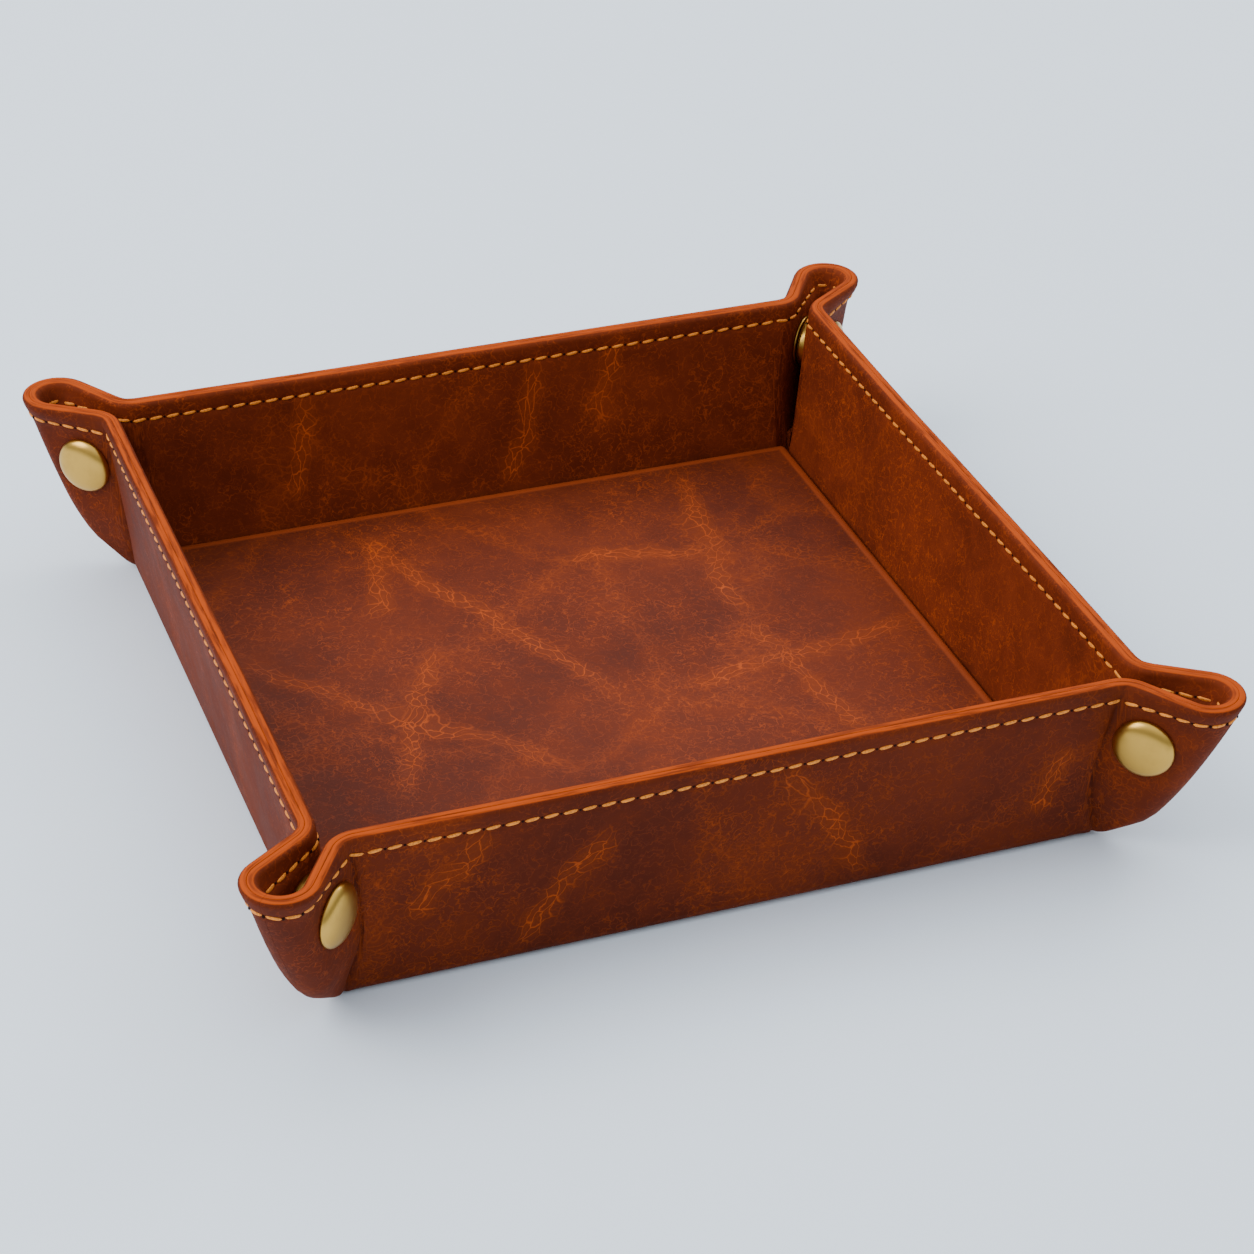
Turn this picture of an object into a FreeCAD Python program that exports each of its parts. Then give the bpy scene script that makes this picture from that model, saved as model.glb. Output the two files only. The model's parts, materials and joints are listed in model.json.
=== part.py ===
"""Leather valet tray with four snapped corner ears.

Sizes are in millimetres, +Z is up and the origin lies under the middle of the base.
Two leathers, an outer and a lining, are folded up into four walls. At each corner the leather runs
on past the walls, is pinched together by a snap and turns back in an open loop, the ear. The ear's
two halves are modelled apart, one on the end of each wall. A covered board lies on the floor.
"""
import FreeCAD
import Part
import Sketcher
import math
import os

Vector = FreeCAD.Vector
Z_AXIS = Vector(0, 0, 1)

# Driving sizes: alias, value, meaning
SIZES = [
    ("base_width", 185.0, "outside width of the square base"),
    ("rim_height", 46.0, "height of the rim above the table"),
    ("rim_overhang", 5.9, "how far the rim stands outside the base on each side"),
    ("leather_thickness", 2.1, "thickness of each of the two leathers"),
    ("fold_radius", 1.2, "rounding of the leather along the bottom fold"),
    ("crease_inset", 6.5, "from the base corner back to the crease where wall becomes ear"),
    ("crease_clearance", 0.15, "room between a wall and its ear at the crease"),
    ("board_thickness", 1.2, "floor board"),
    ("cover_thickness", 0.8, "leather that wraps the floor board"),
    ("cover_edge_radius", 0.6, "rounding of the floor cover's top edge"),
    ("floor_clearance", 0.5, "room between the floor cover and the lining"),
    ("cover_clearance", 0.05, "room between the floor board and its cover"),
    ("ear_reach", 28.5, "from the base corner out to the tip of the ear at the rim, in plan"),
    ("ear_curve", 0.577, "power of the ear's lower outline: 1 is a straight line, less is rounder"),
    ("pinch_half_gap", 0.3, "half the gap between the ear's two linings at the bottom"),
    ("snap_half_gap", 1.9, "half the gap between the ear's two linings at the snap"),
    ("pinch_margin", 3.75, "from where the gap reaches its full width up to the cap"),
    ("loop_flare", 12.0, "angle in degrees by which each half spreads into the loop at the rim"),
    ("tip_clearance", 0.2, "from each ear half to the middle plane of its corner, at the tip"),
    ("cap_height", 2.9, "height of the dome above the leather"),
    ("seat_clearance", 0.1, "room between a snap piece and the leather it is set in"),
    ("post_diameter", 2.5, "rivet post of each cap"),
    ("post_grip", 1.0, "how far the post reaches past the lining into the socket or stud"),
    ("post_clearance", 0.1, "room round the post"),
    ("disc_inset", 0.25, "from the edge of a cap in to the edge of the socket or the stud's flange"),
    ("flange_thickness", 0.6, "flange of the snap stud"),
    ("mating_gap", 0.3, "between the closed socket and the stud's flange"),
    ("head_diameter", 4.2, "bulb of the stud"),
    ("neck_diameter", 3.5, "neck of the stud under its bulb"),
    ("head_height", 1.2, "bulb of the stud"),
    ("head_clearance", 0.4, "room between the stud's bulb and the socket's bore"),
]

# Sizes tied to others: alias, formula, meaning
TIED_SIZES = [
    ("ear_bottom", "=rim_height * 0.0065", "height of the ear's lowest point above the table"),
    ("snap_height", "=rim_height * 0.674", "height of the snap's middle above the table"),
    ("snap_reach", "=ear_reach * 0.291", "from the base corner out to the snap's middle, in plan"),
    ("cap_diameter", "=ear_reach * 0.509", "domed snap cap, which fills the flat of the ear"),
    ("disc_diameter", "=cap_diameter - 2 * disc_inset", "snap socket and flange of the snap stud"),
    ("pinch_rise", "=snap_height - cap_diameter / 2 - pinch_margin", "height where the gap is full"),
    ("flare_start", "=snap_height + cap_diameter / 2", "height where the loop starts to spread"),
]

doc = FreeCAD.newDocument("valet_tray")
sheet = doc.addObject("Spreadsheet::Sheet", "sizes")
for row, (alias, value, meaning) in enumerate(SIZES + TIED_SIZES, start=1):
    sheet.set(f"A{row}", meaning)
    sheet.set(f"B{row}", str(value))
    sheet.setAlias(f"B{row}", alias)
doc.recompute()

# Sizes worked out once from the sheet, as expressions for the features that are bound to it
SLANT = "sqrt(sizes.rim_height ^ 2 + sizes.rim_overhang ^ 2)"
LEANING_RUN = f"(sizes.leather_thickness * {SLANT} / sizes.rim_height)"
LEAN = "(sizes.rim_overhang / sizes.rim_height)"
WALL_HALF_LENGTH = "(sizes.base_width / 2 - sizes.crease_inset - sizes.crease_clearance)"
FLOOR_LEVEL = "(2 * sizes.leather_thickness)"
LINING_FOOT = f"(sizes.base_width / 2 + {LEAN} * {FLOOR_LEVEL} - 2 * {LEANING_RUN})"
FLOOR_HALF_WIDTH = f"({LINING_FOOT} - sizes.floor_clearance)"
LINING_FACE = "sizes.snap_half_gap"
LEATHER_FACE = "(sizes.snap_half_gap + 2 * sizes.leather_thickness)"

WALLS = ["right", "back", "left", "front"]
# Each corner, counted round from back right: its two walls, the one with the socket half first
CORNERS = [("right", "back"), ("back", "left"), ("left", "front"), ("front", "right")]
# Flat faces round the ear's bend and round its loop, and rings of a cap's dome
BEND_FACETS = 3
LOOP_FACETS = 6
DOME_RINGS = 2
parts = []


def size(alias):
    """A driving size read from the sheet."""
    return float(sheet.get(alias))


def quarter_turn(count):
    """Placement that turns a piece of the first wall or corner to another one."""
    return FreeCAD.Placement(Vector(0, 0, 0), FreeCAD.Rotation(Z_AXIS, 90.0 * count))


def finished(obj, name):
    """Lists an object as a piece of the tray under its own name."""
    obj.Label = name
    parts.append((obj, name))
    return obj


def bind(obj, **expressions):
    """Binds an object's sizes to the sheet."""
    for prop, expression in expressions.items():
        obj.setExpression(prop, expression)
    return obj


def origin_plane(body, role):
    """One of a body's own origin planes."""
    return next(feature for feature in body.Origin.OriginFeatures if feature.Role == role)


def bound_outline(body, name, role, corners):
    """A closed sketch of straight lines. Its corners are x and y expressions, bound to the sheet."""
    sketch = body.newObject("Sketcher::SketchObject", name)
    sketch.AttachmentSupport = (origin_plane(body, role), [""])
    sketch.MapMode = "FlatFace"
    points = [Vector(sketch.evalExpression(x), sketch.evalExpression(y), 0) for x, y in corners]
    for index, point in enumerate(points):
        sketch.addGeometry(Part.LineSegment(point, points[(index + 1) % len(points)]), False)
    for index, (x, y) in enumerate(corners):
        following = (index + 1) % len(corners)
        sketch.addConstraint(Sketcher.Constraint("Coincident", index, 2, following, 1))
        start = points[index]
        for kind, expression, value in (("DistanceX", x, start.x), ("DistanceY", y, start.y)):
            place = sketch.addConstraint(Sketcher.Constraint(kind, -1, 1, index, 1, value))
            sketch.setExpression(f"Constraints[{place}]", expression)
    return sketch


def edges_where(shape, test):
    """Names of the edges whose vertices all pass the test."""
    names = []
    for number, edge in enumerate(shape.Edges, start=1):
        if all(test(vertex.Point) for vertex in edge.Vertexes):
            names.append(f"Edge{number}")
    return names


def mitred_plate(name, level, rounded):
    """One leather of the base: a square plate with mitred edges, notched where the ears stand."""
    plate = doc.addObject("Part::Wedge", name + "_plate")
    mitre = f"({LEANING_RUN} / sizes.leather_thickness - {LEAN})"
    low = f"(sizes.base_width / 2 - {mitre} * {level} * sizes.leather_thickness)"
    high = f"({low} - {mitre} * sizes.leather_thickness)"
    bind(plate, Xmin="-" + low, Xmax=low, Zmin="-" + low, Zmax=low)
    bind(plate, Ymin="0", Ymax="sizes.leather_thickness")
    bind(plate, X2min="-" + high, X2max=high, Z2min="-" + high, Z2max=high)
    plate.Placement = FreeCAD.Placement(Vector(0, 0, 0), FreeCAD.Rotation(Vector(1, 0, 0), 90))
    plate.setExpression("Placement.Base.z", f"{level} * sizes.leather_thickness")
    notches = []
    for count in range(4):
        notch = doc.addObject("Part::Box", f"{name}_notch_{count}")
        bind(notch, Length="sizes.crease_inset * 2", Width="sizes.crease_inset * 2")
        bind(notch, Height="sizes.rim_height")
        across, along = [(1, 1), (-1, 1), (-1, -1), (1, -1)][count]
        far = f"(sizes.crease_inset * 2 + {WALL_HALF_LENGTH})"
        notch.setExpression("Placement.Base.x", WALL_HALF_LENGTH if across > 0 else "-" + far)
        notch.setExpression("Placement.Base.y", WALL_HALF_LENGTH if along > 0 else "-" + far)
        notches.append(notch)
    corners = doc.addObject("Part::MultiFuse", name + "_notches")
    corners.Shapes = notches
    cut = doc.addObject("Part::Cut", name)
    cut.Base = plate
    cut.Tool = corners
    doc.recompute()
    if not rounded:
        return finished(cut, name)
    half = size("base_width") / 2

    def on_fold(point):
        return abs(point.z) < 1e-6 and abs(max(abs(point.x), abs(point.y)) - half) < 1e-6

    fold = doc.addObject("Part::Fillet", name + "_folded")
    fold.Base = cut
    radius = size("fold_radius")
    fold.Edges = [(int(edge[4:]), radius, radius) for edge in edges_where(cut.Shape, on_fold)]
    return finished(fold, name)


def wall(name, count, ply):
    """One leather of one wall: a leaning plate, mitred along the fold. Ply 0 is the outer one."""
    body = doc.addObject("PartDesign::Body", name + "_body")
    lean_in = f"{LEAN} * {{0}} * sizes.leather_thickness"
    foot_x = f"(sizes.base_width / 2 + {lean_in} - {{0}} * {LEANING_RUN})"
    rim_x = f"(sizes.base_width / 2 + sizes.rim_overhang - {{0}} * {LEANING_RUN})"
    foot_z = "({0} * sizes.leather_thickness)"
    outline = [
        (foot_x.format(ply), foot_z.format(ply)),
        (rim_x.format(ply), "sizes.rim_height"),
        (rim_x.format(ply + 1), "sizes.rim_height"),
        (foot_x.format(ply + 1), foot_z.format(ply + 1)),
    ]
    sketch = bound_outline(body, name + "_outline", "XZ_Plane", outline)
    pad = body.newObject("PartDesign::Pad", name + "_pad")
    pad.Profile = sketch
    pad.SideType = "Symmetric"
    pad.setExpression("Length", f"2 * {WALL_HALF_LENGTH}")
    doc.recompute()
    if ply == 0:
        fold = body.newObject("PartDesign::Fillet", name + "_fold")
        fold.Base = (pad, edges_where(pad.Shape, lambda point: abs(point.z) < 1e-6))
        fold.setExpression("Radius", "sizes.fold_radius")
        body.Tip = fold
    body.Placement = quarter_turn(count)
    return finished(body, name)


def smooth_step(x):
    """Runs from 0 to 1 without a corner."""
    x = min(max(x, 0.0), 1.0)
    return x * x * (3 - 2 * x)


def ear_level(z):
    """The line midway through the ear's leather at one height, as arcs and a straight run between them.

    u runs out from the base corner along the corner's middle plane, and v across it. The leather leaves
    the wall at 45 degrees to that plane, bends beside it, spreads by the flare and turns back on a loop
    centred on the plane.
    """
    root2 = math.sqrt(2)
    leather = 2 * size("leather_thickness")
    lean = size("rim_overhang") * z / size("rim_height")
    rise = smooth_step(z / size("pinch_rise"))
    gap = size("pinch_half_gap") + (size("snap_half_gap") - size("pinch_half_gap")) * rise
    near = gap + leather / 2
    spread = (z - size("flare_start")) / (size("rim_height") - size("flare_start"))
    flare = math.radians(size("loop_flare")) * smooth_step(spread)
    crease = size("crease_inset") + lean - leather / 2
    bend = (crease / root2 - near) / (1 - math.cos(math.pi / 4))
    corner = root2 * lean - leather / root2
    bend_u = corner - near + (root2 - 1) * bend
    tip = size("ear_reach") * (z / size("rim_height")) ** size("ear_curve") - leather / 2
    spread_out = near + bend * (1 - math.cos(flare))
    loop_share = (1 + math.sin(flare)) / math.cos(flare)
    reach = tip - bend_u - bend * math.sin(flare) - spread_out * loop_share
    run = reach / (math.cos(flare) + math.sin(flare) * loop_share)
    loop = (spread_out + run * math.sin(flare)) / math.cos(flare)
    level = {"z": z, "flare": flare, "bend": bend, "bend_u": bend_u, "bend_v": near + bend}
    level.update(loop=loop, loop_u=tip - loop)
    return level


def at_corner(level, u, v):
    """A point of the back right ear, from its place along and across the corner's middle plane."""
    corner = size("base_width") / 2
    return Vector(corner + (u + v) / math.sqrt(2), corner + (u - v) / math.sqrt(2), level["z"])


def on_bend(level, offset, turn):
    """Point on the bend beside the wall, where the leather heads at an angle to the middle plane."""
    radius = level["bend"] - offset
    u = level["bend_u"] + radius * math.sin(turn)
    v = level["bend_v"] - radius * math.cos(turn)
    return at_corner(level, u, v)


def on_loop(level, offset, turn):
    """Point on the loop at the tip, where the leather heads at an angle to the middle plane."""
    radius = level["loop"] + offset
    return at_corner(level, level["loop_u"] - radius * math.sin(turn), radius * math.cos(turn))


def ear_face_line(level, offset):
    """Points along one leather face at one height: from the crease round the bend and the loop."""
    flare = level["flare"]
    wall_way = -math.pi / 4
    tip_way = -math.acos(size("tip_clearance") / (level["loop"] + offset))
    points = []
    for share in shares(BEND_FACETS):
        points.append(on_bend(level, offset, wall_way + (flare - wall_way) * share))
    for share in shares(LOOP_FACETS):
        points.append(on_loop(level, offset, flare + (tip_way - flare) * share))
    return points


def shares(count):
    """Even steps from 0 to 1."""
    return [step / count for step in range(count + 1)]


def ear_half(inside, outside):
    """One leather of the back right ear's socket half, between two offsets from the leather's middle."""
    top = size("rim_height")
    bottom = size("ear_bottom")
    rise = size("pinch_rise")
    spread = size("flare_start")
    heights = [bottom, 0.1 * rise, 0.3 * rise, 0.6 * rise, rise, spread, (spread + top) / 2, top]
    rings = []
    for z in heights:
        level = ear_level(z)
        rings.append(ear_face_line(level, outside) + ear_face_line(level, inside)[::-1])
    return skinned(rings).cut(post_hole())


def flat_faces(corners):
    """One flat face through the corners of a four-sided patch, or two triangles where the patch is twisted.

    The patch is split along its shorter diagonal, so that the two leathers fit together.
    """
    a, b, c, d = corners
    if abs((b - a).cross(c - a).dot(d - a)) < 1e-9:
        return [Part.Face(Part.makePolygon([a, b, c, d, a]))]
    if (c - a).Length > (d - b).Length:
        a, b, c, d = b, c, d, a
    return [Part.Face(Part.makePolygon([a, b, c, a])), Part.Face(Part.makePolygon([a, c, d, a]))]


def skinned(rings):
    """Solid through level rings of as many points each, made of flat faces so that it stays light."""
    faces = [Part.Face(Part.makePolygon(ring + ring[:1])) for ring in (rings[0], rings[-1])]
    for lower, upper in zip(rings, rings[1:]):
        for index in range(len(lower)):
            following = (index + 1) % len(lower)
            faces += flat_faces([lower[index], lower[following], upper[following], upper[index]])
    skin = Part.Compound(faces)
    skin.sewShape()
    solid = Part.Solid(skin.Shells[0] if skin.Shells else skin)
    if solid.Volume < 0:
        solid.reverse()
    return solid


def snap_frame(stud_side):
    """Placement of a snap piece at the back right corner: its Z runs out from the middle plane."""
    outwards = Vector(-1, 1, 0) if stud_side else Vector(1, -1, 0)
    place = size("base_width") / 2 + size("snap_reach") / math.sqrt(2)
    middle = Vector(place, place, size("snap_height"))
    return FreeCAD.Placement(middle, FreeCAD.Rotation(Z_AXIS, outwards))


def post_hole():
    """The punched hole for the rivet post, through both leathers of the socket half."""
    radius = size("post_diameter") / 2 + size("post_clearance")
    hole = Part.makeCylinder(radius, 4 * size("leather_thickness") + size("snap_half_gap"))
    hole.Placement = snap_frame(False)
    return hole


def ears():
    """The two leathers of all eight ear halves. The stud halves mirror the socket halves."""
    thickness = size("leather_thickness")
    for ply, inside, outside in (("outer", 0.0, thickness), ("lining", -thickness, 0.0)):
        socket_half = ear_half(inside, outside)
        stud_half = socket_half.mirror(Vector(0, 0, 0), Vector(1, -1, 0))
        for count, (socket_wall, stud_wall) in enumerate(CORNERS):
            halves = [(socket_half, socket_wall, stud_wall), (stud_half, stud_wall, socket_wall)]
            for shape, own, other in halves:
                name = f"{ply}_ear_{own}_{other}"
                ear = doc.addObject("Part::Feature", name)
                ear.Shape = shape.copy()
                ear.Placement = quarter_turn(count)
                finished(ear, name)


def revolved(name, outline, placement):
    """A turned snap piece. The outline's corners are a radius and a height along the snap's axis."""
    body = doc.addObject("PartDesign::Body", name + "_body")
    sketch = bound_outline(body, name + "_outline", "XZ_Plane", outline)
    turned = body.newObject("PartDesign::Revolution", name + "_turned")
    turned.Profile = sketch
    turned.ReferenceAxis = (sketch, ["V_Axis"])
    doc.recompute()
    body.Placement = placement
    return finished(body, name)


def cap(name, placement):
    """Cap with a low dome and a rivet post, the same on both sides of a snap."""
    seat = f"({LEATHER_FACE} + sizes.seat_clearance)"
    post = "sizes.post_diameter / 2"
    post_end = f"{LINING_FACE} - sizes.post_grip"
    outline = []
    for share in shares(DOME_RINGS):
        rise = math.sqrt(1 - (1 - share) ** 2)
        radius = f"sizes.cap_diameter / 2 * {1 - share}"
        outline.append((radius, f"{seat} + sizes.cap_height * {rise}"))
    outline += [("0", post_end), (post, post_end), (post, seat)]
    return revolved(name, outline, placement)


def socket(name, placement):
    """Snap socket: a disc with a hole for the post and a bore for the stud's bulb."""
    hole = "sizes.post_diameter / 2 + sizes.post_clearance"
    back = f"{LINING_FACE} - sizes.seat_clearance"
    gap = "sizes.seat_clearance + sizes.flange_thickness + sizes.mating_gap"
    mouth = f"({gap} - {LINING_FACE})"
    rim = "sizes.disc_diameter / 2"
    bore = "sizes.head_diameter / 2 + sizes.head_clearance"
    bore_end = f"{LINING_FACE} - sizes.post_grip - sizes.post_clearance"
    outline = [
        (hole, back),
        (rim, back),
        (rim, mouth),
        (bore, mouth),
        (bore, bore_end),
        (hole, bore_end),
    ]
    return revolved(name, outline, placement)


def stud(name, placement):
    """Snap stud: a flange on the lining and a bulb on a neck, with a blind hole for the post."""
    hole = "sizes.post_diameter / 2 + sizes.post_clearance"
    hole_end = f"{LINING_FACE} - sizes.post_grip - sizes.post_clearance"
    base = f"{LINING_FACE} - sizes.seat_clearance"
    flange_face = f"({base} - sizes.flange_thickness)"
    bulb_foot = f"({flange_face} - sizes.mating_gap)"
    bulb_top = f"({bulb_foot} - sizes.head_height)"
    neck = "sizes.neck_diameter / 2"
    head = "sizes.head_diameter / 2"
    outline = [
        (hole, base),
        ("sizes.disc_diameter / 2", base),
        ("sizes.disc_diameter / 2", flange_face),
        (neck, flange_face),
        (neck, bulb_foot),
        (head, f"{bulb_foot} - sizes.head_height / 2"),
        (neck, bulb_top),
        ("0", bulb_top),
        ("0", hole_end),
        (hole, hole_end),
    ]
    return revolved(name, outline, placement)


def snaps():
    """The four snaps: on each corner a cap and socket on one half, a cap and stud on the other."""
    for count, (socket_wall, stud_wall) in enumerate(CORNERS):
        socket_place = quarter_turn(count).multiply(snap_frame(False))
        stud_place = quarter_turn(count).multiply(snap_frame(True))
        corner = f"{socket_wall}_{stud_wall}"
        cap(f"socket_cap_{corner}", socket_place)
        socket(f"snap_socket_{corner}", socket_place)
        cap(f"stud_cap_{corner}", stud_place)
        stud(f"snap_stud_{corner}", stud_place)


def floor_panel():
    """The stiff board on the floor and the leather that wraps its top and sides."""
    inner = f"({FLOOR_HALF_WIDTH} - sizes.cover_thickness - sizes.cover_clearance)"
    board = centred_box("floor_board", inner, FLOOR_LEVEL, "sizes.board_thickness")
    finished(board, "floor_board")
    height = "sizes.board_thickness + sizes.cover_thickness"
    block = centred_box("cover_block", FLOOR_HALF_WIDTH, FLOOR_LEVEL, height)
    room = f"({inner} + sizes.cover_clearance)"
    below = f"({FLOOR_LEVEL} - sizes.board_thickness)"
    hollow = centred_box("cover_hollow", room, below, "2 * sizes.board_thickness")
    shell = doc.addObject("Part::Cut", "cover_shell")
    shell.Base = block
    shell.Tool = hollow
    doc.recompute()
    top = shell.Shape.BoundBox.ZMax
    radius = size("cover_edge_radius")
    cover = doc.addObject("Part::Fillet", "floor_cover_rounded")
    cover.Base = shell
    rounded = edges_where(shell.Shape, lambda point: abs(point.z - top) < 1e-6)
    cover.Edges = [(int(edge[4:]), radius, radius) for edge in rounded]
    finished(cover, "floor_cover")


def centred_box(name, half, level, height):
    """A square box centred on the tray, standing on a level."""
    box = doc.addObject("Part::Box", name)
    bind(box, Length=f"2 * {half}", Width=f"2 * {half}", Height=height)
    for axis in ("x", "y"):
        box.setExpression(f"Placement.Base.{axis}", f"-{half}")
    box.setExpression("Placement.Base.z", level)
    return box


def main():
    """Builds every piece, checks it and writes it out."""
    mitred_plate("outer_base", 0, True)
    mitred_plate("lining_base", 1, False)
    for count, side in enumerate(WALLS):
        wall(f"outer_wall_{side}", count, 0)
        wall(f"lining_wall_{side}", count, 1)
    ears()
    floor_panel()
    snaps()
    doc.recompute()
    failed = [obj.Name for obj in doc.Objects if "Invalid" in obj.State or "Error" in obj.State]
    broken = [name for obj, name in parts if not (obj.Shape.Solids and obj.Shape.isValid())]
    if failed or broken:
        raise RuntimeError(f"failed features {failed}, broken pieces {broken}")
    os.makedirs("parts", exist_ok=True)
    for obj, name in parts:
        obj.Shape.exportStep(f"parts/{name}.step")
    print(f"{len(parts)} pieces written")


main()
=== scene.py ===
import json
import math
from functools import partial

import bpy
from mathutils import Matrix, Vector, noise


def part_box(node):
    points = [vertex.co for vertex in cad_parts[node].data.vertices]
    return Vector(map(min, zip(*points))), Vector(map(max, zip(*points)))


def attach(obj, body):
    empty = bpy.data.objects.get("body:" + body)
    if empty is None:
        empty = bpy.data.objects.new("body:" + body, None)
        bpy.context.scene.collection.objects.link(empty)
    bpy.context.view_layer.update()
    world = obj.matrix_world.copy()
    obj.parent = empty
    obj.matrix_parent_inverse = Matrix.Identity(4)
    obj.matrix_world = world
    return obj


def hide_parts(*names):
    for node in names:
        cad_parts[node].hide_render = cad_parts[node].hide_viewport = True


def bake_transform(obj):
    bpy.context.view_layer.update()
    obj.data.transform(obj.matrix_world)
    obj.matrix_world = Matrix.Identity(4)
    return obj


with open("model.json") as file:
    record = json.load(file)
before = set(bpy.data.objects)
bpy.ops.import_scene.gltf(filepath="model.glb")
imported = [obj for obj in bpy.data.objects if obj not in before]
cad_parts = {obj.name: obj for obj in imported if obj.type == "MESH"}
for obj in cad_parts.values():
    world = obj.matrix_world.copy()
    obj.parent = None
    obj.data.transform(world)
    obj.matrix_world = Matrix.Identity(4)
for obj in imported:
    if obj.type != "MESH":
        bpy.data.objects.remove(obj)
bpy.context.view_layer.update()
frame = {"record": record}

bl_info = {
    "name": "Leather Valet Tray",
    "version": (1, 0, 0),
    "blender": (4, 5, 0),
    "location": "View3D > Sidebar > Valet Tray",
    "description": "Dresses the valet tray's frame in stitched leather and brass snaps",
    "category": "Object",
}

MM = 0.001
JOINTS = {joint["name"]: joint for joint in frame["record"]["behaviour"]["joints"]}

# Sizes that the frame gives, in metres
BASE_HALF = JOINTS["wall_right_splay"]["pos_m"][0]
RIM_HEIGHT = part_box("outer_wall_right")[1].z
RIM_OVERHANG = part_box("outer_wall_right")[1].x - BASE_HALF
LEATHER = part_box("lining_base")[1].z / 2
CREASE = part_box("outer_ear_right_back")[0].y
FLOOR_LOW, FLOOR_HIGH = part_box("floor_cover")
CAP_LOW, CAP_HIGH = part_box("socket_cap_right_back")
CAP_RADIUS = (CAP_HIGH.z - CAP_LOW.z) / 2
SNAP_HEIGHT = (CAP_HIGH.z + CAP_LOW.z) / 2

# From where an ear's gap is full up to its cap, and the room left beside a corner's middle plane
PINCH_MARGIN = 3.75 * MM
TIP_ROOM = 0.03 * MM

# Heights up to which the foot of an ear is drawn in and lifted
TUCK_HEIGHT = 10 * MM
LIFT_HEIGHT = 8 * MM
# Strip inside an ear's tip: its upper and lower end, and as shares of its slot's depth half its thickness
# and how far out it lies in the stud half
STRIP_TOP = RIM_HEIGHT - 0.45 * MM
STRIP_FOOT = 2.6 * MM
STRIP_HALF = 0.27
STRIP_SHIFT = 0.7
# Slot for that strip: its top, how far down it reaches full depth, its room past the strip and its run-out
SLOT_TOP = RIM_HEIGHT - 0.35 * MM
SLOT_EASE = 0.65 * MM
SLOT_ROOM = 1 * MM
SLOT_END = 0.8 * MM
# Fold in a base corner: its heights, where it starts, how far it stops short of the ear's outside, its share
# of the gap, half the width of its foot and how high that is
FOLD_HEIGHTS = [height * MM for height in (1.6, 2.4, 4, 6, 8)]
FOLD_START = -2.5 * MM
FOLD_SHORT = 1.1 * MM
FOLD_FILL = 0.7
FOLD_FOOT = 1.2 * MM
FOLD_FOOT_HEIGHT = 3 * MM
# Painted shade: the leather's colours are scaled down on the outside, the lining and the floor, most on the
# outside
OUTER_PAINTED_SHADE = 0.7
LINING_PAINTED_SHADE = 0.92
FLOOR_PAINTED_SHADE = 0.77

WALLS = ["right", "back", "left", "front"]
# Each corner, counted round from back right: its two walls, the one with the snap socket first
CORNERS = [("right", "back"), ("back", "left"), ("left", "front"), ("front", "right")]

# Pull-up lines where the leather was creased, as points in millimetres: x and y on the floor, and x and z
# on the outside and the lining of the walls
FLOOR_CREASES = [
    ((-38, 82), (4, -14)),
    ((-82, 33), (-18, -37)),
    ((-31, 22), (-62, -36)),
    ((54, 88), (44, 8)),
    ((44, 12), (56, -46)),
    ((8, 51), (49, 46)),
    ((20, -13), (88, -4)),
    ((-30, 78), (-43, 40)),
]
FRONT_CREASES = [
    ((9, 42), (31, 3)),
    ((-30, 33), (-52, 4)),
    ((-60, 41), (-74, 20)),
    ((78, 30), (72, 10)),
]
LINING_CREASES = [
    ((20, 40), (8, 8)),
    ((-44, 42), (-52, 14)),
    ((40, 44), (34, 20)),
]

# Soft lights: name, place and width in metres, and power in watts
LIGHTS = [
    ("key_light", (-1.15, 0.1, 1.05), 1.0, 17),
    ("side_light", (1.0, 0.5, 0.9), 0.6, 4.5),
    ("back_light", (0.1, 1.1, 1.2), 1.2, 4.5),
]

# Camera of the photograph: its place is an angle round and above the tray and a distance from its target
CAMERA_AZIMUTH = math.radians(-21.447)
CAMERA_ELEVATION = math.radians(33.073)
CAMERA_ROLL = math.radians(1.684)
CAMERA_DISTANCE = 816.8 * MM
CAMERA_TARGET = Vector((18.63, 24.57, 0)) * MM
CAMERA_LENS = 92.62


def length(name, description, default):
    """A length property."""
    return bpy.props.FloatProperty(name=name, description=description, default=default, subtype="DISTANCE")


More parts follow.
